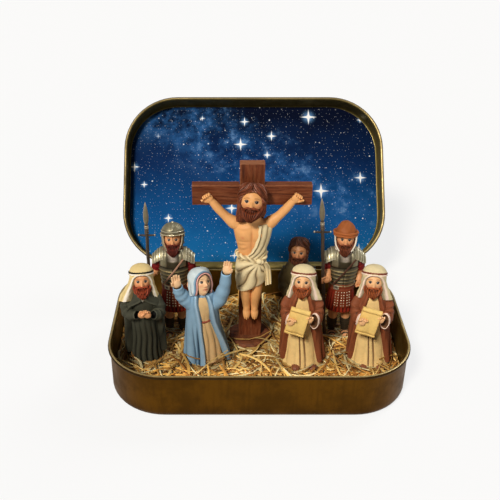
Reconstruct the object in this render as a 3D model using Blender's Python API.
"""Pocket tin diorama: a hinged sheet-metal tin that stands open with a starry card in its lid,
a bed of straw in its tray, and a cross and seven painted figures that lift out.

Metres, +Z up. The origin is the middle of the tray's underside, and the figures face -Y.
Run with: blender --background --python part.py
"""

import math
from functools import partial

import bmesh
import bpy
from mathutils import Matrix, Vector

# Tin
TRAY_LENGTH = 0.0972
TRAY_WIDTH = 0.0634
TRAY_HEIGHT = 0.0168
CORNER_RADIUS = 0.0190
SHEET = 0.0004
BEAD_RADIUS = 0.0006
BEAD_PROUD = 0.0007
BOTTOM_EDGE_RADIUS = 0.0026
LID_CLEARANCE = 0.0003
LID_DEPTH = 0.0078
LID_OVERLAP = 0.0012
LID_EDGE_RADIUS = 0.0012
LID_OPEN_DEGREES = 129.0

# Hinges
HINGE_SPACING = 0.0480
KNUCKLE_RADIUS = 0.0008
KNUCKLE_LENGTH = 0.0022
KNUCKLE_GAP = 0.0003
PIN_RADIUS = 0.00035
PIN_CLEARANCE = 0.0001
PIN_END = 0.0004
LEAF_RUN = 0.0030

# Lid card and straw
FIT_GAP = 0.0003
CARD_THICKNESS = 0.0004
CARD_INSET = 0.0008
STRAW_DEPTH = 0.0040
STRAW_LUMP = 0.0007
STRAW_WALL_GAP = 0.0004
SEAT_SINK = 0.0008
SEAT_MARGIN = 0.0003

# Where the figures stand, from the tray's inner walls
FRONT_ROW_FROM_FRONT = 0.0236
SHEPHERD_FROM_LEFT = 0.0099
SHEPHERD_BACK_STEP = 0.0026
WOMAN_FROM_LEFT = 0.0293
WOMAN_BACK_STEP = 0.0012
BEARER_FROM_RIGHT = 0.0113
BEARER_SPACING = 0.0224
SOLDIER_FROM_BACK = 0.0213
LEFT_SOLDIER_FROM_LEFT = 0.0193
RIGHT_SOLDIER_FROM_RIGHT = 0.0186
BYSTANDER_FROM_BACK = 0.0136
BYSTANDER_FROM_RIGHT = 0.0329
CROSS_FROM_BACK = 0.0247
CROSS_OFFSET = -0.0024

# Cross
UPRIGHT_WIDTH = 0.0078
UPRIGHT_HEIGHT = 0.0664
TIMBER_THICKNESS = 0.0034
BEAM_LENGTH = 0.0376
BEAM_HEIGHT = 0.0069
BEAM_CENTRE_HEIGHT = 0.0559
TIMBER_EDGE = 0.0004
BASE_RADIUS = 0.0076
BASE_HEIGHT = 0.0022
BASE_EDGE = 0.0007
MORTISE_DEPTH = 0.0012

# Figure on the cross, measured down from the middle of the beam
CORPUS_HEAD_DROP = 0.0016
CORPUS_SHOULDER_DROP = 0.0082
CORPUS_HIP_DROP = 0.0240
CORPUS_FOOT_DROP = 0.0440
CORPUS_HEAD_HALF_WIDTH = 0.0041
CORPUS_HEAD_HALF_HEIGHT = 0.0050
CORPUS_SHOULDER_HALF = 0.0060
CORPUS_HIP_HALF = 0.0046
CORPUS_HALF_DEPTH = 0.0031
CORPUS_FIST_REACH = 0.0148
CORPUS_HAIR_WALL = 0.0014
CORPUS_LIMB_RADIUS = 0.0019
WRAP_WALL = 0.0012
WRAP_LENGTH = 0.0135

# Heads, hair and hands
HEAD_HALF_WIDTH = 0.0030
HEAD_HALF_DEPTH = 0.0031
HEAD_HALF_HEIGHT = 0.0042
CHIN_OVERLAP = 0.0006
CLOTH_WALL = 0.0011
BEARD_HALF_WIDTH = 0.0025
BEARD_HALF_LENGTH = 0.0030
BEARD_HALF_DEPTH = 0.0017
NECK_RADIUS = 0.0023
HAND_RADIUS = 0.0014

# Robed figures: half widths and half depths of hem and chest, over the height to the crown
BEARER_HEIGHT = 0.0367
SHEPHERD_HEIGHT = 0.0355
WOMAN_HEIGHT = 0.0350
BYSTANDER_HEIGHT = 0.0336
GOWN_HEM_HALF_WIDTH = 0.0056
GOWN_HEM_HALF_DEPTH = 0.0050
GOWN_CHEST_HALF_WIDTH = 0.0044
GOWN_CHEST_HALF_DEPTH = 0.0035
MANTLE_WALL = 0.0015
MANTLE_HEM_HEIGHT = 0.0026
WOMAN_MANTLE_WALL = 0.0022
WOMAN_CUFF_HEIGHT = 0.0305
WOMAN_RIGHT_HAND_HIGHER = 0.0056
SLEEVE_RADIUS = 0.0021
FOLD_DEPTH = 0.05
GOWN_FOLDS = 7
SCROLL_WIDTH = 0.0062
SCROLL_LENGTH = 0.0094
SCROLL_THICKNESS = 0.0007
SCROLL_ROLL_RADIUS = 0.0007
SCROLL_LEAN_DEGREES = 12.0

# Soldiers
SOLDIER_HEIGHT = 0.0432
SOLDIER_BELT_HEIGHT = 0.0210
SOLDIER_SKIRT_HEIGHT = 0.0110
SOLDIER_SHOULDER_HALF = 0.0050
SOLDIER_CHEST_HALF_DEPTH = 0.0034
SOLDIER_WAIST_HALF = 0.0037
SOLDIER_SKIRT_HALF = 0.0048
PLATE = 0.0010
HELMET_WALL = 0.0010
HELMET_BRIM = 0.0013
CAP_BRIM = 0.0020
LEG_SPREAD = 0.0023
LEG_RADIUS = 0.0017
ARM_RADIUS = 0.0014
GRIP_HEIGHT = 0.0246

# Spears
SPEAR_SHAFT_RADIUS = 0.00062
SPEAR_BLADE_LENGTH = 0.0085
SPEAR_BLADE_WIDTH = 0.0022
SPEAR_BLADE_THICKNESS = 0.0011
SPEAR_GUARD_LENGTH = 0.0052
SPEAR_GUARD_BELOW_TIP = 0.0128
SPEAR_GUARD_RADIUS = 0.00045
LEFT_SPEAR_FOOT = (-0.0085, -0.0008, 0.0)
LEFT_SPEAR_TIP = (-0.0084, -0.0008, 0.0515)
RIGHT_SPEAR_FOOT = (-0.0052, -0.0048, 0.0)
RIGHT_SPEAR_TIP = (-0.0094, -0.0052, 0.0550)

# Worked out from the above
TRAY_HALF = Vector((TRAY_LENGTH / 2, TRAY_WIDTH / 2))
INNER_HALF = TRAY_HALF - Vector((BEAD_PROUD + SHEET, BEAD_PROUD + SHEET))
LID_GROWTH = LID_CLEARANCE + SHEET + BEAD_PROUD
LID_HALF = TRAY_HALF + Vector((LID_GROWTH, LID_GROWTH))
HINGE_Y = LID_HALF.y + KNUCKLE_GAP + KNUCKLE_RADIUS
HINGE_Z = TRAY_HEIGHT - LID_OVERLAP
STRAW_FLOOR_Z = SHEET + FIT_GAP
STRAW_TOP_Z = STRAW_FLOOR_Z + STRAW_DEPTH
SEAT_Z = STRAW_TOP_Z - SEAT_SINK
FIGURE_BASE_Z = SEAT_Z + FIT_GAP
FAR = TRAY_LENGTH


def start_scene():
    """Clears the scene and makes the collections for the parts and for the cutters."""
    for obj in list(bpy.data.objects):
        bpy.data.objects.remove(obj)
    parts = bpy.data.collections.new("pocket_tin_diorama")
    cutters = bpy.data.collections.new("cutters")
    bpy.context.scene.collection.children.link(parts)
    bpy.context.scene.collection.children.link(cutters)
    cutters.hide_render = True
    return parts, cutters


PARTS, CUTTERS = start_scene()


def paint(name, red, green, blue, roughness, metallic=0.0):
    """A Principled material from the colour that the eye reads, 0 to 255 a channel."""
    made = bpy.data.materials.new(name)
    made.use_nodes = True
    shader = made.node_tree.nodes["Principled BSDF"]
    linear = [(channel / 255) ** 2.2 for channel in (red, green, blue)]
    shader.inputs["Base Color"].default_value = (*linear, 1.0)
    shader.inputs["Roughness"].default_value = roughness
    shader.inputs["Metallic"].default_value = metallic
    return made


TIN_BRASS = paint("tin_brass", 112, 84, 36, 0.35, 0.9)
PIN_STEEL = paint("pin_steel", 120, 112, 96, 0.35, 0.9)
NIGHT_BLUE = paint("night_blue", 22, 66, 128, 0.4)
STRAW = paint("straw", 206, 164, 92, 0.8)
WOOD = paint("stained_wood", 112, 54, 30, 0.6)
SKIN = paint("skin", 226, 168, 120, 0.55)
DARK_SKIN = paint("dark_skin", 168, 116, 76, 0.55)
BEARD = paint("beard", 112, 52, 30, 0.6)
HAIR = paint("hair", 96, 50, 34, 0.6)
CREAM_GOWN = paint("cream_gown", 226, 194, 146, 0.65)
PALE_CLOTH = paint("pale_cloth", 222, 208, 176, 0.65)
BROWN_CLOTH = paint("brown_cloth", 122, 68, 44, 0.65)
CHARCOAL_CLOTH = paint("charcoal_cloth", 52, 56, 48, 0.7)
BLUE_CLOTH = paint("blue_cloth", 126, 158, 184, 0.65)
RED_CLOTH = paint("red_cloth", 138, 30, 26, 0.65)
OLIVE_CLOTH = paint("olive_cloth", 84, 68, 36, 0.7)
ARMOUR_STEEL = paint("armour_steel", 132, 130, 118, 0.35, 0.8)
CAP_LEATHER = paint("cap_leather", 136, 72, 44, 0.6)
PARCHMENT = paint("parchment", 214, 186, 124, 0.7)
SPEAR_IRON = paint("spear_iron", 92, 80, 68, 0.4, 0.6)


def carrier(name, location, turn_degrees=0.0):
    """An empty that carries one moving body: on its hinge axis, or under its base."""
    empty = bpy.data.objects.new(name, None)
    empty.location = location
    empty.rotation_euler = (math.radians(turn_degrees), 0, 0)
    PARTS.objects.link(empty)
    return empty


def place(obj, parent, material):
    """Moves a finished solid from the cutters to the parts."""
    CUTTERS.objects.unlink(obj)
    PARTS.objects.link(obj)
    obj.hide_render = False
    obj.display_type = "SOLID"
    obj.parent = parent
    obj.data.materials.clear()
    obj.data.materials.append(material)
    obj.data.shade_smooth()
    obj.data.set_sharp_from_angle(angle=math.radians(40))


def shape_from(bm):
    """A shape with its faces outwards, kept among the cutters until it is used or placed."""
    if bm.calc_volume(signed=True) < 0:
        bmesh.ops.reverse_faces(bm, faces=bm.faces[:])
    mesh = bpy.data.meshes.new("shape")
    bm.to_mesh(mesh)
    bm.free()
    obj = bpy.data.objects.new("shape", mesh)
    obj.hide_render = True
    obj.display_type = "WIRE"
    CUTTERS.objects.link(obj)
    return obj


# Shapes: each can be made larger by grow, so that a neighbour can be given room for it

def skin(loops):
    """A closed solid over a stack of outlines with equal counts of points."""
    bm = bmesh.new()
    rows = [[bm.verts.new(point) for point in loop] for loop in loops]
    for low, high in zip(rows, rows[1:]):
        for here, there, above, beside in zip(low, low[1:] + low[:1], high[1:] + high[:1], high):
            bm.faces.new((here, there, above, beside))
    bm.faces.new(reversed(rows[0]))
    bm.faces.new(rows[-1])
    return shape_from(bm)


def column(rings, folds=0, fold_top=1.0, sides=12, grow=0.0):
    """A loft of oval rings (height, middle y, half width, half depth), with folds that are
    deepest at the hem and fade out at fold_top. There are two sides to a fold."""
    foot = rings[0][0]
    loops = []
    for number, (height, y, half_width, half_depth) in enumerate(rings):
        fade = max(0.0, 1 - (height - foot) / fold_top)
        if number == 0:
            height -= grow
        if number == len(rings) - 1:
            height += grow
        loop = []
        for step in range(2 * folds or sides):
            turn = math.tau * (step if folds else step + 0.5) / (2 * folds or sides)
            swell = 1 + FOLD_DEPTH * fade * math.cos(folds * turn) * bool(folds)
            across = (half_width * swell + grow) * math.cos(turn)
            along = (half_depth * swell + grow) * math.sin(turn)
            loop.append((across, y + along, height))
        loops.append(loop)
    return skin(loops)


def ball(centre, radii, tilt=(0, 0, 0), segments=10, rings=6, grow=0.0):
    """An ellipsoid, turned by tilt in degrees about X, Y and Z."""
    bm = bmesh.new()
    bmesh.ops.create_uvsphere(bm, u_segments=segments, v_segments=rings, radius=1.0)
    turn = Matrix.Identity(4)
    for degrees, axis in zip(tilt, "XYZ"):
        turn = Matrix.Rotation(math.radians(degrees), 4, axis) @ turn
    size = Matrix.Diagonal((*(radius + grow for radius in radii), 1))
    bm.transform(Matrix.Translation(centre) @ turn @ size)
    return shape_from(bm)


def small_ball(centre, radii, tilt=(0, 0, 0), grow=0.0):
    """A ball with fewer faces, for a hand, a toe or a beard."""
    return ball(centre, radii, tilt, segments=8, rings=5, grow=grow)


def block(low, high, edge=0.0, lean=0.0, grow=0.0):
    """A box between two corners, with bevelled edges, turned about Y by lean in degrees."""
    bm = bmesh.new()
    bmesh.ops.create_cube(bm, size=1.0)
    size = Vector(high) - Vector(low) + 2 * Vector((grow, grow, grow))
    middle = (Vector(high) + Vector(low)) / 2
    turn = Matrix.Rotation(math.radians(lean), 4, "Y")
    bm.transform(Matrix.Diagonal((*size, 1)))
    if edge:
        bmesh.ops.bevel(bm, geom=bm.edges[:], offset=edge, segments=1, affect="EDGES")
    bm.transform(Matrix.Translation(middle) @ turn)
    return shape_from(bm)


def rod(start, end, radius, sides=12, grow=0.0):
    """A straight round bar."""
    start, end = Vector(start), Vector(end)
    way = end - start
    bm = bmesh.new()
    radius += grow
    depth = way.length + 2 * grow
    bmesh.ops.create_cone(
        bm, cap_ends=True, segments=sides, radius1=radius, radius2=radius, depth=depth
    )
    turn = Vector((0, 0, 1)).rotation_difference(way).to_matrix().to_4x4()
    bm.transform(Matrix.Translation((start + end) / 2) @ turn)
    return shape_from(bm)


def limb(points, radii, sides=6, grow=0.0):
    """A tapering arm, leg or sleeve: a curve with a bevel, made a mesh."""
    points = [Vector(point) for point in points]
    points[0] += (points[0] - points[1]).normalized() * grow
    points[-1] += (points[-1] - points[-2]).normalized() * grow
    radii = [radius + grow for radius in radii]
    curve = bpy.data.curves.new("limb", "CURVE")
    curve.dimensions = "3D"
    curve.bevel_depth = max(radii)
    curve.bevel_resolution = (sides - 4) // 2
    curve.use_fill_caps = True
    spline = curve.splines.new("POLY")
    spline.points.add(len(points) - 1)
    for spot, point, radius in zip(spline.points, points, radii):
        spot.co = (*point, 1.0)
        spot.radius = radius / max(radii)
    guide = bpy.data.objects.new("limb", curve)
    CUTTERS.objects.link(guide)
    mesh = evaluated_mesh(guide)
    bpy.data.objects.remove(guide)
    bpy.data.curves.remove(curve)
    bm = bmesh.new()
    bm.from_mesh(mesh)
    bpy.data.meshes.remove(mesh)
    bmesh.ops.remove_doubles(bm, verts=bm.verts, dist=1e-6)
    return shape_from(bm)


def prism(outline, front, back):
    """A flat outline of (x, z) points, drawn out along Y."""
    bm = bmesh.new()
    face = bm.faces.new([bm.verts.new((x, front, z)) for x, z in outline])
    drawn = bmesh.ops.extrude_face_region(bm, geom=[face])["geom"]
    moved = [item for item in drawn if isinstance(item, bmesh.types.BMVert)]
    bmesh.ops.translate(bm, verts=moved, vec=(0, back - front, 0))
    return shape_from(bm)


# Joining and cutting

def evaluated_mesh(obj):
    graph = bpy.context.evaluated_depsgraph_get()
    return bpy.data.meshes.new_from_object(obj.evaluated_get(graph))


def combine(target, tools, operation):
    """Applies one Boolean with all the tools, and removes the tools. The solver is MANIFOLD,
    because EXACT leaves open edges where the folds of two robes cross."""
    if not tools:
        return
    group = bpy.data.collections.new("tools")
    for tool in tools:
        group.objects.link(tool)
    modifier = target.modifiers.new("boolean", "BOOLEAN")
    modifier.operation = operation
    modifier.solver = "MANIFOLD"
    modifier.operand_type = "COLLECTION"
    modifier.collection = group
    made = evaluated_mesh(target)
    target.modifiers.clear()
    old = target.data
    target.data = made
    bpy.data.meshes.remove(old)
    bpy.data.collections.remove(group)
    for tool in tools:
        mesh = tool.data
        bpy.data.objects.remove(tool)
        bpy.data.meshes.remove(mesh)


def unite(name, *shapes):
    """Makes the shapes and joins them into one solid of this name."""
    solids = [shape() for shape in shapes]
    combine(solids[0], solids[1:], "UNION")
    solids[0].name = name
    solids[0].data.name = name
    return solids[0]


def cut(target, *tools):
    """Cuts the tools out of the target."""
    combine(target, tools, "DIFFERENCE")
    drop_crumbs(target)


def make_room(target, *neighbours):
    """Cuts the neighbours' shapes out of the target, with a gap all round them."""
    cut(target, *[shape(grow=FIT_GAP) for shapes in neighbours for shape in shapes])


def drop_crumbs(obj):
    """Keeps the largest closed body of a cut solid, because a cut can leave slivers."""
    bm = bmesh.new()
    bm.from_mesh(obj.data)
    unseen = set(bm.faces)
    bodies = []
    while unseen:
        body, front = set(), [unseen.pop()]
        while front:
            face = front.pop()
            body.add(face)
            near = {other for edge in face.edges for other in edge.link_faces} & unseen
            unseen -= near
            front += near
        bodies.append(body)
    largest = max(bodies, key=lambda body: sum(face.calc_area() for face in body))
    crumbs = [face for face in bm.faces if face not in largest]
    bmesh.ops.delete(bm, geom=crumbs, context="FACES")
    bm.to_mesh(obj.data)
    bm.free()


# Tin

def tin_outline(inset, height, half, radius, steps=5):
    """A rounded rectangle, inset from a pan's outer edge."""
    corner = max(radius - inset, SHEET / 2)
    points = []
    for quarter, (side_x, side_y) in enumerate(((1, 1), (-1, 1), (-1, -1), (1, -1))):
        middle_x = side_x * (half.x - radius)
        middle_y = side_y * (half.y - radius)
        for step in range(steps + 1):
            turn = math.pi / 2 * (quarter + step / steps)
            x = middle_x + corner * math.cos(turn)
            y = middle_y + corner * math.sin(turn)
            points.append((x, y, height))
    return points


def pressed_pan(half, radius, height, edge_radius):
    """A pan pressed from sheet, open at the top. Its section, as (inset, height), runs up the
    outer side, over the rolled rim and down the inner side."""
    inner = BEAD_PROUD + SHEET
    section = []
    for degrees in (0, 30, 60, 90):
        turn = math.radians(degrees)
        inset = BEAD_PROUD + edge_radius * (1 - math.sin(turn))
        section.append((inset, edge_radius * (1 - math.cos(turn))))
    for degrees in (-110, -160, 150, 100, 50, 0):
        turn = math.radians(degrees)
        inset = BEAD_RADIUS + BEAD_RADIUS * math.cos(turn)
        section.append((inset, height - BEAD_RADIUS + BEAD_RADIUS * math.sin(turn)))
    section.append((inner, height - 2 * BEAD_RADIUS))
    fillet = edge_radius - SHEET
    for degrees in (90, 45, 0):
        turn = math.radians(degrees)
        inset = inner + fillet * (1 - math.sin(turn))
        section.append((inset, SHEET + fillet * (1 - math.cos(turn))))
    return skin([tin_outline(inset, z, half, radius) for inset, z in section])


def knuckle_starts(side):
    """Where along X the three knuckles of one hinge begin: tray, lid, tray."""
    pitch = KNUCKLE_LENGTH + KNUCKLE_GAP
    first = side * HINGE_SPACING / 2 - KNUCKLE_LENGTH / 2 - pitch
    return [first + number * pitch for number in range(3)]


def hinge_leaf(start, outline):
    """A leaf as long as a knuckle, from its outline of (y, z) points."""
    ends = (start, start + KNUCKLE_LENGTH)
    return skin([[(x, y, z) for y, z in outline] for x in ends])


def knuckle(start, y, z):
    return rod((start, y, z), (start + KNUCKLE_LENGTH, y, z), KNUCKLE_RADIUS)


def pin_bore(y, z):
    reach = HINGE_SPACING
    return rod((-reach, y, z), (reach, y, z), PIN_RADIUS + PIN_CLEARANCE)


def build_tray():
    shapes = [partial(pressed_pan, TRAY_HALF, CORNER_RADIUS, TRAY_HEIGHT, BOTTOM_EDGE_RADIUS)]
    wall = TRAY_HALF.y - BEAD_PROUD
    low = HINGE_Z - KNUCKLE_RADIUS
    outline = [
        (wall - SHEET / 2, low - LEAF_RUN),
        (wall + SHEET, low - LEAF_RUN),
        (HINGE_Y + KNUCKLE_RADIUS * 0.5, low),
        (HINGE_Y, HINGE_Z),
        (HINGE_Y - KNUCKLE_RADIUS * 0.9, HINGE_Z - KNUCKLE_RADIUS * 0.2),
        (wall - SHEET / 2, low - SHEET),
    ]
    for side in (-1, 1):
        first, _, last = knuckle_starts(side)
        for start in (first, last):
            shapes.append(partial(hinge_leaf, start, outline))
            shapes.append(partial(knuckle, start, HINGE_Y, HINGE_Z))
    tray = unite("tray_shell", *shapes)
    cut(tray, pin_bore(HINGE_Y, HINGE_Z))
    place(tray, None, TIN_BRASS)


def closed_lid_pan():
    """The lid's pan, closed over the tray, with the hinge axis at the origin."""
    radius = CORNER_RADIUS + LID_GROWTH
    pan = pressed_pan(LID_HALF, radius, LID_DEPTH, LID_EDGE_RADIUS)
    upside_down = Matrix.Rotation(math.pi, 4, "X")
    pan.data.transform(Matrix.Translation((0, -HINGE_Y, LID_DEPTH)) @ upside_down)
    return pan


def build_lid():
    """The lid is built closed and hangs on an empty that stands on the axis, turned open."""
    hinge = carrier("lid_on_hinge", (0, HINGE_Y, HINGE_Z), -LID_OPEN_DEGREES)
    wall = LID_HALF.y - BEAD_PROUD - HINGE_Y
    outline = [
        (wall - SHEET / 2, BEAD_RADIUS),
        (wall - SHEET / 2, LEAF_RUN),
        (wall + SHEET, LEAF_RUN),
        (KNUCKLE_RADIUS * 0.5, KNUCKLE_RADIUS * 0.9),
        (0, 0),
        (-KNUCKLE_RADIUS * 0.9, 0),
    ]
    shapes = [closed_lid_pan]
    for side in (-1, 1):
        start = knuckle_starts(side)[1]
        shapes.append(partial(hinge_leaf, start, outline))
        shapes.append(partial(knuckle, start, 0, 0))
    lid = unite("lid_shell", *shapes)
    cut(lid, pin_bore(0, 0))
    place(lid, hinge, TIN_BRASS)

    inset = BEAD_PROUD + SHEET + CARD_INSET
    radius = CORNER_RADIUS + LID_GROWTH
    top = LID_DEPTH - SHEET - FIT_GAP
    levels = (top - CARD_THICKNESS, top)
    card = skin([tin_outline(inset, z, LID_HALF, radius) for z in levels])
    card.data.transform(Matrix.Translation((0, -HINGE_Y, 0)))
    card.name = "backdrop_card"
    place(card, hinge, NIGHT_BLUE)


def build_hinge_pins():
    for side, word in ((-1, "left"), (1, "right")):
        starts = knuckle_starts(side)
        low = starts[0] - PIN_END
        high = starts[-1] + KNUCKLE_LENGTH + PIN_END
        pin = rod((low, HINGE_Y, HINGE_Z), (high, HINGE_Y, HINGE_Z), PIN_RADIUS)
        pin.name = f"hinge_pin_{word}"
        place(pin, None, PIN_STEEL)


def straw_height(x, y):
    """The bed's lumpy top: three slow waves across each other."""
    waves = math.sin(310 * x + 1.3) + math.sin(270 * y - 170 * x) + math.sin(430 * y + 0.7)
    return STRAW_TOP_Z + STRAW_LUMP * waves / 3


def build_straw(seats):
    """The straw bed, with a flat seat pressed into it for each foot."""
    wall = BEAD_PROUD + SHEET + STRAW_WALL_GAP
    edge = BOTTOM_EDGE_RADIUS - SHEET
    loops = []
    for lift in (0.0, 0.7):
        inset = wall + edge * (1 - lift)
        loops.append(tin_outline(inset, STRAW_FLOOR_Z + edge * lift, TRAY_HALF, CORNER_RADIUS))
    rim = tin_outline(wall, STRAW_TOP_Z, TRAY_HALF, CORNER_RADIUS)
    for shrink in (1.0, 0.84, 0.66, 0.48, 0.3, 0.1):
        ring = [(x * shrink, y * shrink) for x, y, _ in rim]
        loops.append([(x, y, straw_height(x, y)) for x, y in ring])
    bed = skin(loops)
    bed.name = "straw_bed"
    for x, y, half_width, half_depth in seats:
        size = (half_width + SEAT_MARGIN, half_depth + SEAT_MARGIN)
        seat = column([(z, y, *size) for z in (SEAT_Z, TRAY_HEIGHT)])
        seat.data.transform(Matrix.Translation((x, 0, 0)))
        cut(bed, seat)
    place(bed, None, STRAW)


# Cross

def behind_timber():
    """Everything behind the timbers' front, which the figure on the cross lies flat against."""
    front = -TIMBER_THICKNESS / 2 - FIT_GAP
    return block((-FAR, front, -FAR), (FAR, front + FAR, FAR))


def build_cross(base):
    """The cross: two timbers halved into each other, and a round foot with a mortise."""
    lift = carrier("cross_carrier", base)
    half = TIMBER_THICKNESS / 2
    narrow, wide = BASE_RADIUS - BASE_EDGE, BASE_RADIUS
    foot_rings = [
        (0.0, 0, wide - BASE_EDGE / 2, wide - BASE_EDGE / 2),
        (BASE_EDGE, 0, wide, wide),
        (BASE_HEIGHT - BASE_EDGE, 0, wide, wide),
        (BASE_HEIGHT, 0, narrow, narrow),
    ]
    foot = unite("cross_base", partial(column, foot_rings, sides=24))
    rise = BASE_HEIGHT - MORTISE_DEPTH
    across = UPRIGHT_WIDTH / 2
    stake = partial(block, (-across, -half, rise), (across, half, UPRIGHT_HEIGHT), TIMBER_EDGE)
    upright = unite("cross_upright", stake)
    make_room(foot, [stake])

    low = BEAM_CENTRE_HEIGHT - BEAM_HEIGHT / 2
    high = BEAM_CENTRE_HEIGHT + BEAM_HEIGHT / 2
    reach = BEAM_LENGTH / 2
    bar = partial(block, (-reach, -half, low), (reach, half, high), TIMBER_EDGE)
    beam = unite("cross_beam", bar)
    gap = FIT_GAP
    cut(upright, block((-FAR, -FAR, low - gap), (FAR, gap / 2, high + gap)))
    cut(beam, block((-across - gap, -gap / 2, -FAR), (across + gap, FAR, FAR)))
    place(foot, lift, WOOD)
    place(upright, lift, WOOD)
    place(beam, lift, WOOD)
    build_corpus(lift)


def build_corpus(lift):
    """The figure on the cross: head, body, hair with beard, and wrap."""
    back = -TIMBER_THICKNESS / 2 - FIT_GAP
    middle = back - CORPUS_HALF_DEPTH * 0.87
    shoulder = BEAM_CENTRE_HEIGHT - CORPUS_SHOULDER_DROP
    hip = BEAM_CENTRE_HEIGHT - CORPUS_HIP_DROP
    foot_z = BEAM_CENTRE_HEIGHT - CORPUS_FOOT_DROP
    head_z = BEAM_CENTRE_HEIGHT - CORPUS_HEAD_DROP
    head_wide, head_tall = CORPUS_HEAD_HALF_WIDTH, CORPUS_HEAD_HALF_HEIGHT
    head_y = back - head_wide - CORPUS_HAIR_WALL * 0.6
    head = [partial(ball, (0, head_y, head_z), (head_wide, head_wide, head_tall))]

    depth = CORPUS_HALF_DEPTH
    wide, narrow = CORPUS_SHOULDER_HALF, CORPUS_HIP_HALF
    torso = [
        (hip - narrow * 0.7, middle, narrow * 0.85, depth * 0.95),
        (hip, middle, narrow, depth),
        (hip + (shoulder - hip) * 0.35, middle, narrow * 0.95, depth * 0.95),
        (hip + (shoulder - hip) * 0.75, middle, wide * 0.92, depth * 1.05),
        (shoulder, middle, wide, depth * 0.9),
        (shoulder + NECK_RADIUS * 0.8, middle, NECK_RADIUS * 1.2, NECK_RADIUS),
    ]
    body = [partial(column, torso)]
    arm_y = back - CORPUS_LIMB_RADIUS * 0.9
    knee_z = (hip + foot_z) / 2
    for side in (-1, 1):
        fist = (side * CORPUS_FIST_REACH, arm_y, BEAM_CENTRE_HEIGHT)
        elbow_x = side * (CORPUS_SHOULDER_HALF + CORPUS_FIST_REACH) / 2
        elbow = (elbow_x, arm_y, (shoulder + BEAM_CENTRE_HEIGHT) / 2 - CORPUS_LIMB_RADIUS / 2)
        thick = CORPUS_LIMB_RADIUS
        start = (side * wide * 0.55, middle, shoulder - thick * 0.5)
        body.append(partial(limb, [start, elbow, fist], (thick, thick * 0.92, thick * 0.7)))
        body.append(partial(small_ball, fist, (thick, thick, thick)))
        leg_x = side * narrow * 0.46
        ankle = (leg_x * 0.8, middle, foot_z + thick * 1.4)
        leg = [(leg_x, middle, hip), (leg_x, middle - thick * 0.3, knee_z), ankle]
        body.append(partial(limb, leg, (thick * 1.15, thick * 1.05, thick * 0.75)))
        toes = (leg_x * 0.8, middle - thick * 0.3, foot_z + thick * 1.1)
        size = (thick * 0.78, thick * 0.85, thick * 1.4)
        body.append(partial(small_ball, toes, size, (-12, 0, 0)))

    wall = CORPUS_HAIR_WALL
    crown = (0, head_y + wall * 0.6, head_z + wall * 0.4)
    crown_size = (head_wide + wall, head_wide + wall * 0.7, head_tall + wall * 0.6)
    locks = [
        (head_z - head_tall * 1.25, head_y + wall * 1.4, head_wide + wall * 0.6, wall * 1.8),
        (head_z - head_tall * 0.5, head_y + wall, head_wide + wall, head_wide * 0.7),
        (head_z, head_y + wall * 0.6, head_wide + wall * 0.8, head_wide * 0.8),
    ]
    hair_shapes = [partial(ball, crown, crown_size), partial(column, locks)]
    hair = unite("corpus_hair", *hair_shapes)
    half_face = head_wide * 0.78
    face_gap = [
        (-half_face, head_z - head_tall * 3),
        (half_face, head_z - head_tall * 3),
        (half_face, head_z + head_tall * 0.4),
        (0, head_z + head_tall * 0.85),
        (-half_face, head_z + head_tall * 0.4),
    ]
    cut(hair, prism(face_gap, -FAR, head_y - wall * 0.3))
    chin = head_z - head_tall
    beard_middle = (0, head_y - head_wide * 0.45, chin + BEARD_HALF_LENGTH * 0.1)
    beard_size = (head_wide * 0.8, BEARD_HALF_DEPTH * 1.3, BEARD_HALF_LENGTH * 1.2)
    cheek_z = head_z - head_tall * 0.5
    cheek = [(side * head_wide, head_y, cheek_z) for side in (-1, 1)]
    cheek.insert(1, (0, head_y - head_wide * 0.85, cheek_z - head_tall * 0.2))
    whiskers = [
        partial(ball, beard_middle, beard_size, (14, 0, 0)),
        partial(limb, cheek, (wall * 0.9,) * 3),
    ]
    combine(hair, [shape() for shape in whiskers], "UNION")

    high = hip + WRAP_LENGTH * 0.33
    low = high - WRAP_LENGTH
    grown = WRAP_WALL
    skirt = [
        (low, middle, narrow + grown * 0.9, depth + grown * 1.2),
        (low + WRAP_LENGTH * 0.35, middle, narrow + grown, depth + grown * 1.1),
        (low + WRAP_LENGTH * 0.75, middle, narrow + grown, depth + grown),
        (high, middle, narrow + grown * 0.9, depth + grown * 0.9),
    ]
    sash_size = (wide * 0.42, depth + grown * 0.8, (shoulder - hip) * 0.62)
    sash = ((wide * 0.62), middle, (hip + shoulder) / 2 + grown)
    wrap = unite(
        "corpus_wrap",
        partial(column, skirt, folds=6, fold_top=WRAP_LENGTH),
        partial(ball, sash, sash_size, (0, -8, 0)),
    )
    slant = WRAP_LENGTH * 0.18
    hem = [(-FAR, low - FAR), (FAR, low - FAR), (wide, low + slant * 1.6), (-wide, low + slant * 0.2)]
    cut(wrap, prism(hem, -FAR, FAR))

    head_solid = unite("corpus_head", *head)
    body_solid = unite("corpus_body", *body)
    make_room(body_solid, head)
    make_room(hair, head, body)
    make_room(wrap, body, hair_shapes, whiskers)
    for solid, material in ((head_solid, SKIN), (body_solid, SKIN), (hair, HAIR), (wrap, PALE_CLOTH)):
        cut(solid, behind_timber())
        place(solid, lift, material)


# Standing figures: shapes that they share

def head_middle(height):
    """The middle of the head of a figure whose covered crown is at this height."""
    return height - CLOTH_WALL - HEAD_HALF_HEIGHT


def head_shapes(z, tilt=(0, 0, 0), x=0.0):
    return [partial(ball, (x, 0, z), (HEAD_HALF_WIDTH, HEAD_HALF_DEPTH, HEAD_HALF_HEIGHT), tilt)]


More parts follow.
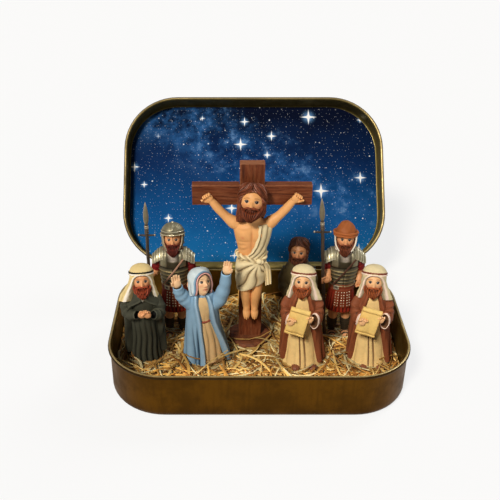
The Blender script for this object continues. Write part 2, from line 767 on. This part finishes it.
def beard_shapes(z):
    """A beard that wraps the chin and hangs a little below it."""
    chin = z - HEAD_HALF_HEIGHT
    middle = (0, -HEAD_HALF_DEPTH + BEARD_HALF_DEPTH * 0.5, chin + BEARD_HALF_LENGTH * 0.3)
    size = (BEARD_HALF_WIDTH, BEARD_HALF_DEPTH, BEARD_HALF_LENGTH)
    return [partial(small_ball, middle, size, (10, 0, 0))]


def robe_rings(neck, wall=0.0, foot=0.0):
    """A gown from its hem to the neck, or a mantle one wall outside it."""
    hem = (GOWN_HEM_HALF_WIDTH + wall, GOWN_HEM_HALF_DEPTH + wall * 0.7)
    chest = (GOWN_CHEST_HALF_WIDTH + wall * 1.1, GOWN_CHEST_HALF_DEPTH + wall)
    step_back = wall * 0.3
    return [
        (foot, step_back, hem[0], hem[1]),
        (neck * 0.60, step_back, chest[0], chest[1]),
        (neck * 0.84, step_back, chest[0] * 0.98, chest[1] * 0.98),
        (neck * 0.95, step_back, chest[0] * 0.68, chest[1] * 0.80),
        (neck, step_back, NECK_RADIUS + wall * 0.7, NECK_RADIUS + wall * 0.7),
    ]


def robe(neck, wall=0.0, foot=0.0):
    return partial(column, robe_rings(neck, wall, foot), folds=GOWN_FOLDS, fold_top=neck * 0.7)


def front_opening(neck, half_hem, half_neck, shift=0.0):
    """The cutter for a mantle that hangs open in front, from below its hem to its collar."""
    outline = [
        (shift - half_hem, -neck),
        (shift + half_hem, -neck),
        (shift + half_hem, 0),
        (shift * 0.7 + half_hem * 0.62, neck * 0.55),
        (half_neck, neck * 0.9),
        (half_neck, neck * 2),
        (-half_neck, neck * 2),
        (-half_neck, neck * 0.9),
        (shift * 0.7 - half_hem * 0.62, neck * 0.55),
        (shift - half_hem, 0),
    ]
    return prism(outline, -FAR, 0)


def sleeve_paths(neck, hand_x, hand_z, reach):
    """Shoulder, elbow, cuff and hand of each arm, for forearms held forward."""
    out = GOWN_CHEST_HALF_WIDTH + MANTLE_WALL * 0.6
    paths = []
    for side in (-1, 1):
        shoulder = Vector((side * out * 0.9, 0, neck * 0.82))
        elbow = Vector((side * out, -reach * 0.2, neck * 0.64))
        hand = Vector((side * hand_x, -reach, hand_z))
        cuff = elbow.lerp(hand, 0.72)
        paths.append((shoulder, elbow, cuff, hand))
    return paths


def headcloth(name, z, flare, drop):
    """A cloth over the head with a cord round it: a dome, and a fall behind the shoulders."""
    wide = HEAD_HALF_WIDTH + CLOTH_WALL
    deep = HEAD_HALF_DEPTH + CLOTH_WALL
    tall = HEAD_HALF_HEIGHT + CLOTH_WALL
    fall = [
        (z - drop, CLOTH_WALL, wide + flare, deep * 0.95),
        (z - drop * 0.5, CLOTH_WALL, wide + flare * 0.7, deep * 0.95),
        (z, CLOTH_WALL * 0.5, wide, deep),
        (z + tall * 0.35, CLOTH_WALL * 0.4, wide * 0.93, deep * 0.93),
    ]
    band_z = z + tall * 0.42
    levels = (band_z, band_z + CLOTH_WALL)
    band = [(level, CLOTH_WALL * 0.3, wide * 0.97, deep * 0.97) for level in levels]
    cloth = unite(
        name,
        partial(ball, (0, CLOTH_WALL * 0.3, z), (wide, deep, tall)),
        partial(column, fall),
        partial(column, band),
    )
    half = HEAD_HALF_WIDTH * 0.9
    outline = [
        (-half * 1.1, z - drop * 2),
        (half * 1.1, z - drop * 2),
        (half, z),
        (half * 0.75, z + HEAD_HALF_HEIGHT * 0.42),
        (-half * 0.75, z + HEAD_HALF_HEIGHT * 0.42),
        (-half, z),
    ]
    cut(cloth, prism(outline, -FAR, -HEAD_HALF_DEPTH * 0.15))
    return cloth


def scroll_shapes(z, y):
    """An open scroll that hangs from its top roll, leaning a little."""
    half = SCROLL_WIDTH / 2
    turn = Matrix.Rotation(math.radians(SCROLL_LEAN_DEGREES), 3, "Y")
    middle = Vector((0, y, z - SCROLL_LENGTH / 2))
    thick = SCROLL_THICKNESS / 2
    low = middle - Vector((half, thick, SCROLL_LENGTH / 2))
    high = middle + Vector((half, thick, SCROLL_LENGTH / 2))
    shapes = [partial(block, low, high, lean=SCROLL_LEAN_DEGREES)]
    for end, width, radius in ((1, half + thick, 1.0), (-1, half, 0.8)):
        corners = [middle + turn @ Vector((x, 0, end * SCROLL_LENGTH / 2)) for x in (-width, width)]
        shapes.append(partial(rod, *corners, SCROLL_ROLL_RADIUS * radius, sides=8))
    return shapes


def build_bearer(prefix, location):
    """A man in a gown and mantle, who holds an open scroll before him."""
    base = carrier(f"{prefix}_carrier", location)
    z = head_middle(BEARER_HEIGHT)
    neck = z - HEAD_HALF_HEIGHT + CHIN_OVERLAP
    head, beard = head_shapes(z), beard_shapes(z)
    reach = GOWN_CHEST_HALF_DEPTH + MANTLE_WALL + HAND_RADIUS
    grip_z = neck * 0.72
    scroll = scroll_shapes(grip_z + HAND_RADIUS * 1.6, -reach - HAND_RADIUS * 0.4)
    gown = [robe(neck)]
    mantle = [robe(neck, MANTLE_WALL, MANTLE_HEM_HEIGHT)]
    for _, elbow, cuff, hand in sleeve_paths(neck, SCROLL_WIDTH / 2, grip_z, reach):
        inner = [elbow, cuff, elbow.lerp(hand, 0.9)]
        gown.append(partial(limb, inner, (SLEEVE_RADIUS * 0.7,) * 3))
        gown.append(partial(small_ball, hand, (HAND_RADIUS,) * 3))
    for shoulder, elbow, cuff, _ in sleeve_paths(neck, SCROLL_WIDTH / 2, grip_z, reach):
        mantle.append(partial(limb, [shoulder, elbow, cuff], (SLEEVE_RADIUS,) * 3))
    for side in (-1, 1):
        toe = (side * GOWN_HEM_HALF_WIDTH * 0.42, -GOWN_HEM_HALF_DEPTH * 0.82, HAND_RADIUS * 0.7)
        size = (HAND_RADIUS, HAND_RADIUS * 1.1, HAND_RADIUS * 0.7)
        gown.append(partial(small_ball, toe, size))

    gown_solid = unite(f"{prefix}_gown", *gown)
    make_room(gown_solid, head, beard, scroll)
    mantle_solid = unite(f"{prefix}_mantle", *mantle)
    cut(mantle_solid, front_opening(neck, GOWN_HEM_HALF_WIDTH * 0.85, NECK_RADIUS))
    make_room(mantle_solid, gown, head, beard, scroll)
    beard_solid = unite(f"{prefix}_beard", *beard)
    make_room(beard_solid, head)
    cloth = headcloth(f"{prefix}_headcloth", z, CLOTH_WALL, HEAD_HALF_HEIGHT * 1.7)
    make_room(cloth, head, beard, gown, mantle)
    place(unite(f"{prefix}_head", *head), base, SKIN)
    place(beard_solid, base, BEARD)
    place(gown_solid, base, CREAM_GOWN)
    place(mantle_solid, base, BROWN_CLOTH)
    place(cloth, base, PALE_CLOTH)
    place(unite(f"{prefix}_scroll", *scroll), base, PARCHMENT)


def build_shepherd(location):
    """A man in a dark gown and cloak, with clasped hands and a headcloth."""
    base = carrier("shepherd_carrier", location)
    z = head_middle(SHEPHERD_HEIGHT)
    neck = z - HEAD_HALF_HEIGHT + CHIN_OVERLAP
    head, beard = head_shapes(z), beard_shapes(z)
    reach = GOWN_CHEST_HALF_DEPTH + MANTLE_WALL + HAND_RADIUS
    grip_z = neck * 0.76
    size = (HAND_RADIUS * 1.6, HAND_RADIUS, HAND_RADIUS)
    hands = [partial(small_ball, (0, -reach, grip_z), size)]
    gown = [robe(neck)]
    cloak = [robe(neck, MANTLE_WALL, MANTLE_HEM_HEIGHT)]
    for shoulder, elbow, cuff, _ in sleeve_paths(neck, HAND_RADIUS, grip_z, reach):
        cloak.append(partial(limb, [shoulder, elbow, cuff], (SLEEVE_RADIUS,) * 3))

    gown_solid = unite("shepherd_gown", *gown)
    make_room(gown_solid, head, beard, hands)
    cloak_solid = unite("shepherd_cloak", *cloak)
    opening = [
        (-GOWN_HEM_HALF_WIDTH * 0.8, -neck),
        (GOWN_HEM_HALF_WIDTH * 0.8, -neck),
        (GOWN_HEM_HALF_WIDTH * 0.5, neck * 0.6),
        (0, neck * 0.86),
        (-GOWN_HEM_HALF_WIDTH * 0.5, neck * 0.6),
    ]
    cut(cloak_solid, prism(opening, -FAR, 0))
    make_room(cloak_solid, gown, head, beard, hands)
    beard_solid = unite("shepherd_beard", *beard)
    make_room(beard_solid, head)
    cloth = headcloth("shepherd_headcloth", z, CLOTH_WALL * 1.4, HEAD_HALF_HEIGHT * 1.8)
    make_room(cloth, head, beard, gown, cloak)
    place(unite("shepherd_head", *head), base, SKIN)
    place(beard_solid, base, BEARD)
    place(gown_solid, base, CHARCOAL_CLOTH)
    place(cloak_solid, base, CHARCOAL_CLOTH)
    place(cloth, base, PALE_CLOTH)
    place(unite("shepherd_hands", *hands), base, SKIN)


def build_woman(location):
    """A woman in a gown, a long mantle and a veil, who lifts her arms and her face."""
    base = carrier("woman_carrier", location)
    z = head_middle(WOMAN_HEIGHT)
    neck = z - HEAD_HALF_HEIGHT + CHIN_OVERLAP
    lean = -HEAD_HALF_WIDTH * 0.35
    tilt = (-14, 8, 0)
    head = head_shapes(z, tilt, lean)
    gown = [robe(neck)]
    mantle = [robe(neck, WOMAN_MANTLE_WALL)]
    shoulder_x = GOWN_CHEST_HALF_WIDTH * 0.8
    out = GOWN_HEM_HALF_WIDTH + WOMAN_MANTLE_WALL
    hands = {}
    for word, side, raised in (("left", -1, 0.0), ("right", 1, WOMAN_RIGHT_HAND_HIGHER)):
        shoulder = Vector((side * shoulder_x, 0, neck * 0.84))
        elbow = Vector((side * out * 0.86, -SLEEVE_RADIUS * 0.8, neck * 0.98 + raised * 0.45))
        cuff = Vector((side * out * 0.98, -SLEEVE_RADIUS, WOMAN_CUFF_HEIGHT + raised))
        palm = cuff + Vector((side * HAND_RADIUS * 0.4, 0, HAND_RADIUS * 1.6))
        mantle.append(partial(limb, [shoulder, elbow, cuff], (SLEEVE_RADIUS,) * 3))
        size = (HAND_RADIUS * 0.9, HAND_RADIUS * 0.65, HAND_RADIUS * 1.7)
        hands[word] = [partial(small_ball, palm, size, (0, side * 14, 0))]

    gown_solid = unite("woman_gown", *gown)
    make_room(gown_solid, head)
    mantle_solid = unite("woman_mantle", *mantle)
    half_open = GOWN_HEM_HALF_WIDTH * 0.6
    cut(mantle_solid, front_opening(neck, half_open, NECK_RADIUS * 0.8, half_open * 0.9))
    make_room(mantle_solid, gown, head, *hands.values())

    wall = CLOTH_WALL
    size = (HEAD_HALF_WIDTH + wall, HEAD_HALF_DEPTH + wall, HEAD_HALF_HEIGHT + wall)
    fall = [
        (neck * 0.80, wall, HEAD_HALF_WIDTH + wall, GOWN_CHEST_HALF_DEPTH + WOMAN_MANTLE_WALL),
        (neck, wall, HEAD_HALF_WIDTH + wall, HEAD_HALF_DEPTH + wall * 0.5),
        (z, wall * 0.8, HEAD_HALF_WIDTH + wall * 0.6, HEAD_HALF_DEPTH),
    ]
    veil = unite(
        "woman_veil", partial(ball, (lean, wall * 0.5, z), size, tilt), partial(column, fall)
    )
    half = HEAD_HALF_WIDTH * 0.9
    left, right = lean - half * 0.8, lean + half * 1.1
    outline = [
        (left, neck * 0.5),
        (right, neck * 0.5),
        (right, z + HEAD_HALF_HEIGHT * 0.3),
        (lean + half * 0.4, z + HEAD_HALF_HEIGHT * 0.75),
        (lean - half * 0.4, z + HEAD_HALF_HEIGHT * 0.6),
        (left, z),
    ]
    cut(veil, prism(outline, -FAR, -HEAD_HALF_DEPTH * 0.2))
    make_room(veil, head, gown, mantle, *hands.values())
    place(unite("woman_head", *head), base, SKIN)
    place(gown_solid, base, CREAM_GOWN)
    place(mantle_solid, base, BLUE_CLOTH)
    place(veil, base, BLUE_CLOTH)
    for word, shapes in hands.items():
        place(unite(f"woman_hand_{word}", *shapes), base, SKIN)


def build_bystander(location):
    """A bearded man in a plain robe, who stands behind the others."""
    base = carrier("bystander_carrier", location)
    z = head_middle(BYSTANDER_HEIGHT)
    neck = z - HEAD_HALF_HEIGHT + CHIN_OVERLAP
    head = head_shapes(z)
    robe_shape = [robe(neck, MANTLE_WALL * 0.6)]
    wall = CLOTH_WALL * 1.2
    size = (HEAD_HALF_WIDTH + wall, HEAD_HALF_DEPTH + wall, HEAD_HALF_HEIGHT + CLOTH_WALL)
    nape = [
        (z - HEAD_HALF_HEIGHT * 1.2, wall, HEAD_HALF_WIDTH + wall * 0.5, HEAD_HALF_DEPTH * 0.9),
        (z, wall * 0.7, HEAD_HALF_WIDTH + wall * 0.9, HEAD_HALF_DEPTH),
    ]
    hair = unite(
        "bystander_hair", partial(ball, (0, wall * 0.4, z), size), partial(column, nape)
    )
    half = HEAD_HALF_WIDTH * 0.8
    outline = [
        (-half, neck * 0.5),
        (half, neck * 0.5),
        (half, z + HEAD_HALF_HEIGHT * 0.3),
        (0, z + HEAD_HALF_HEIGHT * 0.75),
        (-half, z + HEAD_HALF_HEIGHT * 0.3),
    ]
    cut(hair, prism(outline, -FAR, -HEAD_HALF_DEPTH * 0.2))
    cheek_z = z - HEAD_HALF_HEIGHT * 0.55
    cheek = [(side * HEAD_HALF_WIDTH, 0, cheek_z) for side in (-1, 1)]
    cheek.insert(1, (0, -HEAD_HALF_DEPTH * 0.85, cheek_z))
    beard = [shape() for shape in beard_shapes(z)]
    combine(hair, [*beard, limb(cheek, (CLOTH_WALL,) * 3)], "UNION")
    make_room(hair, head, robe_shape)
    robe_solid = unite("bystander_robe", *robe_shape)
    make_room(robe_solid, head)
    place(robe_solid, base, OLIVE_CLOTH)
    place(unite("bystander_head", *head), base, DARK_SKIN)
    place(hair, base, HAIR)


# Soldiers

def spear_blade(neck, tip, across, through):
    """A leaf-shaped blade, widest at a third of its length."""
    rings = []
    for share, width, thickness in ((0.0, 0.35, 0.8), (0.38, 1.0, 1.0), (1.0, 0.08, 0.16)):
        middle = neck.lerp(tip, share)
        wide = across * SPEAR_BLADE_WIDTH / 2 * width
        thick = through * SPEAR_BLADE_THICKNESS / 2 * thickness
        rings.append([middle + wide, middle + thick, middle - wide, middle - thick])
    return skin(rings)


def build_spear(name, foot, tip):
    """A spear on the line from foot to tip: shaft, cross guard and blade."""
    foot, tip = Vector(foot), Vector(tip)
    way = (tip - foot).normalized()
    across = Vector((1, 0, 0))
    across = (across - way * across.dot(way)).normalized()
    neck = tip - way * SPEAR_BLADE_LENGTH
    guard = tip - way * SPEAR_GUARD_BELOW_TIP
    half = across * SPEAR_GUARD_LENGTH / 2
    socket = neck + way * SPEAR_SHAFT_RADIUS
    return unite(
        name,
        partial(rod, foot, socket, SPEAR_SHAFT_RADIUS, sides=8),
        partial(spear_blade, neck, tip, across, way.cross(across)),
        partial(rod, guard - half, guard + half, SPEAR_GUARD_RADIUS, sides=6),
    )


def torso_rings(wall=0.0, low=0.0):
    """The tunic from its skirt to the neck, or the cuirass one wall outside it."""
    neck = soldier_neck()
    belt, skirt = SOLDIER_BELT_HEIGHT, SOLDIER_SKIRT_HALF
    waist, depth = SOLDIER_WAIST_HALF + wall, SOLDIER_CHEST_HALF_DEPTH + wall
    chest = SOLDIER_SHOULDER_HALF + wall
    rings = [
        (SOLDIER_SKIRT_HEIGHT, 0, skirt, skirt * 0.85),
        (belt, 0, waist, waist * 0.9),
        (belt + (neck - belt) * 0.62, 0, chest * 0.95, depth),
        (belt + (neck - belt) * 0.84, 0, chest * 0.92, depth * 0.92),
        (neck, 0, NECK_RADIUS + wall, NECK_RADIUS + wall),
    ]
    return [ring for ring in rings if ring[0] >= low]


def soldier_neck():
    return head_middle(SOLDIER_HEIGHT) - HEAD_HALF_HEIGHT + CHIN_OVERLAP


def helmet(name, z, brim):
    """A dome with a band or brim at the brow, and a guard round the nape and the cheeks."""
    wide, deep, tall = HEAD_HALF_WIDTH, HEAD_HALF_DEPTH, HEAD_HALF_HEIGHT
    wall = HELMET_WALL
    brow = z + tall * 0.34
    dome = unite(name, partial(ball, (0, 0, z), (wide + wall, deep + wall, tall + CLOTH_WALL)))
    cut(dome, block((-FAR, -FAR, -FAR), (FAR, FAR, brow)))
    levels = (brow - wall * 0.4, brow + wall * 0.8)
    band = [(level, 0, wide + brim, deep + brim) for level in levels]
    guard_rings = [
        (z - tall * 0.95, wall * 0.6, wide + wall * 0.8, deep + wall * 0.8),
        (z - tall * 0.3, wall * 0.3, wide + wall * 0.7, deep + wall * 0.7),
        (brow, 0, wide + wall * 0.9, deep + wall * 0.9),
    ]
    guard = column(guard_rings)
    half = wide * 0.84
    outline = [(-half, -FAR), (half, -FAR), (half, brow - wall * 0.3), (-half, brow - wall * 0.3)]
    cut(guard, prism(outline, -FAR, 0))
    combine(dome, [guard, column(band, sides=16)], "UNION")
    return dome


def build_soldier(prefix, location, spear_foot, spear_tip, brim, helmet_material):
    """A soldier in a tunic, boots and plate armour, who holds a spear."""
    base = carrier(f"{prefix}_carrier", location)
    z = head_middle(SOLDIER_HEIGHT)
    neck = soldier_neck()
    belt = SOLDIER_BELT_HEIGHT
    head, beard = head_shapes(z), beard_shapes(z)
    skirt_z = SOLDIER_SKIRT_HEIGHT
    hip_z = skirt_z + LEG_RADIUS
    legs = [partial(ball, (0, 0, hip_z), (LEG_SPREAD * 1.6, LEG_RADIUS * 1.4, LEG_RADIUS))]
    for side in (-1, 1):
        x = side * LEG_SPREAD
        path = [(x * 0.8, 0, hip_z), (x, 0, skirt_z / 2), (x, 0, LEG_RADIUS * 0.6)]
        legs.append(partial(limb, path, (LEG_RADIUS, LEG_RADIUS, LEG_RADIUS * 0.8)))
        boot = (LEG_RADIUS * 0.9, LEG_RADIUS * 1.6, LEG_RADIUS * 0.6)
        legs.append(partial(small_ball, (x, -LEG_RADIUS * 0.8, LEG_RADIUS * 0.6), boot))

    foot, tip = Vector(spear_foot), Vector(spear_tip)
    grip = foot.lerp(tip, GRIP_HEIGHT / (tip.z - foot.z))
    spear = [partial(rod, foot, tip, SPEAR_SHAFT_RADIUS, sides=8)]
    shoulder_x = SOLDIER_SHOULDER_HALF + PLATE * 0.4
    elbow_z = belt + (neck - belt) * 0.22
    elbow = Vector((-shoulder_x, 0, elbow_z))
    arm = [
        partial(limb, [elbow, elbow.lerp(grip, 0.5), grip], (ARM_RADIUS,) * 3),
        partial(small_ball, grip, (ARM_RADIUS * 1.15,) * 3),
    ]
    tunic = [partial(column, torso_rings(), folds=8, fold_top=belt - skirt_z)]
    armour = [partial(column, torso_rings(PLATE, belt))]
    for side in (-1, 1):
        top = (side * shoulder_x * 0.86, 0, belt + (neck - belt) * 0.72)
        low = (side * shoulder_x, 0, elbow_z)
        tunic.append(partial(limb, [top, low], (ARM_RADIUS * 1.2,) * 2))
        plate = (ARM_RADIUS * 1.75, ARM_RADIUS * 2.1, ARM_RADIUS * 1.6)
        middle = (side * shoulder_x, 0, belt + (neck - belt) * 0.76)
        armour.append(partial(ball, middle, plate, (0, side * 24, 0)))

    tunic_solid = unite(f"{prefix}_tunic", *tunic)
    make_room(tunic_solid, head, beard, legs, arm, spear)
    armour_solid = unite(f"{prefix}_armour", *armour)
    make_room(armour_solid, tunic, head, beard, arm, spear)
    arm_solid = unite(f"{prefix}_arm", *arm)
    make_room(arm_solid, spear)
    beard_solid = unite(f"{prefix}_beard", *beard)
    make_room(beard_solid, head)
    helmet_solid = helmet(f"{prefix}_helmet", z, brim)
    make_room(helmet_solid, head, beard, tunic, armour)
    place(unite(f"{prefix}_legs", *legs), base, SKIN)
    place(tunic_solid, base, RED_CLOTH)
    place(armour_solid, base, ARMOUR_STEEL)
    place(arm_solid, base, SKIN)
    place(build_spear(f"{prefix}_spear", foot, tip), base, SPEAR_IRON)
    place(unite(f"{prefix}_head", *head), base, SKIN)
    place(beard_solid, base, BEARD)
    place(helmet_solid, base, helmet_material)


def main():
    right = INNER_HALF.x
    back = INNER_HALF.y
    front_row = -back + FRONT_ROW_FROM_FRONT
    shepherd = (-right + SHEPHERD_FROM_LEFT, front_row + SHEPHERD_BACK_STEP)
    woman = (-right + WOMAN_FROM_LEFT, front_row + WOMAN_BACK_STEP)
    bearer_right = (right - BEARER_FROM_RIGHT, front_row)
    bearer_left = (bearer_right[0] - BEARER_SPACING, front_row)
    soldier_left = (-right + LEFT_SOLDIER_FROM_LEFT, back - SOLDIER_FROM_BACK)
    soldier_right = (right - RIGHT_SOLDIER_FROM_RIGHT, back - SOLDIER_FROM_BACK)
    bystander = (right - BYSTANDER_FROM_RIGHT, back - BYSTANDER_FROM_BACK)
    cross = (CROSS_OFFSET, back - CROSS_FROM_BACK)

    swell = 1 + FOLD_DEPTH
    wide, deep = GOWN_HEM_HALF_WIDTH * swell, GOWN_HEM_HALF_DEPTH * swell
    toes = HAND_RADIUS * 1.2
    seats = [(*cross, BASE_RADIUS, BASE_RADIUS)]
    for x, y in (shepherd, bearer_left, bearer_right):
        seats.append((x, y, wide + MANTLE_WALL, deep + toes))
    for (x, y), wall in ((woman, WOMAN_MANTLE_WALL * swell), (bystander, MANTLE_WALL * 0.6 * swell)):
        seats.append((x, y + wall * 0.3, wide + wall, deep + wall))
    spear_seat = SPEAR_SHAFT_RADIUS * 1.6
    for (x, y), foot in ((soldier_left, LEFT_SPEAR_FOOT), (soldier_right, RIGHT_SPEAR_FOOT)):
        seats.append((x, y - LEG_RADIUS * 0.8, LEG_SPREAD + LEG_RADIUS * 1.6, LEG_RADIUS * 2.4))
        seats.append((x + foot[0], y + foot[1], spear_seat, spear_seat))

    build_tray()
    build_lid()
    build_hinge_pins()
    build_straw(seats)
    build_cross((*cross, FIGURE_BASE_Z))
    build_shepherd((*shepherd, FIGURE_BASE_Z))
    build_woman((*woman, FIGURE_BASE_Z))
    build_bearer("bearer_left", (*bearer_left, FIGURE_BASE_Z))
    build_bearer("bearer_right", (*bearer_right, FIGURE_BASE_Z))
    build_bystander((*bystander, FIGURE_BASE_Z))
    left_spear = (LEFT_SPEAR_FOOT, LEFT_SPEAR_TIP)
    right_spear = (RIGHT_SPEAR_FOOT, RIGHT_SPEAR_TIP)
    build_soldier("soldier_left", (*soldier_left, FIGURE_BASE_Z), *left_spear, HELMET_BRIM, ARMOUR_STEEL)
    build_soldier("soldier_right", (*soldier_right, FIGURE_BASE_Z), *right_spear, CAP_BRIM, CAP_LEATHER)


main()
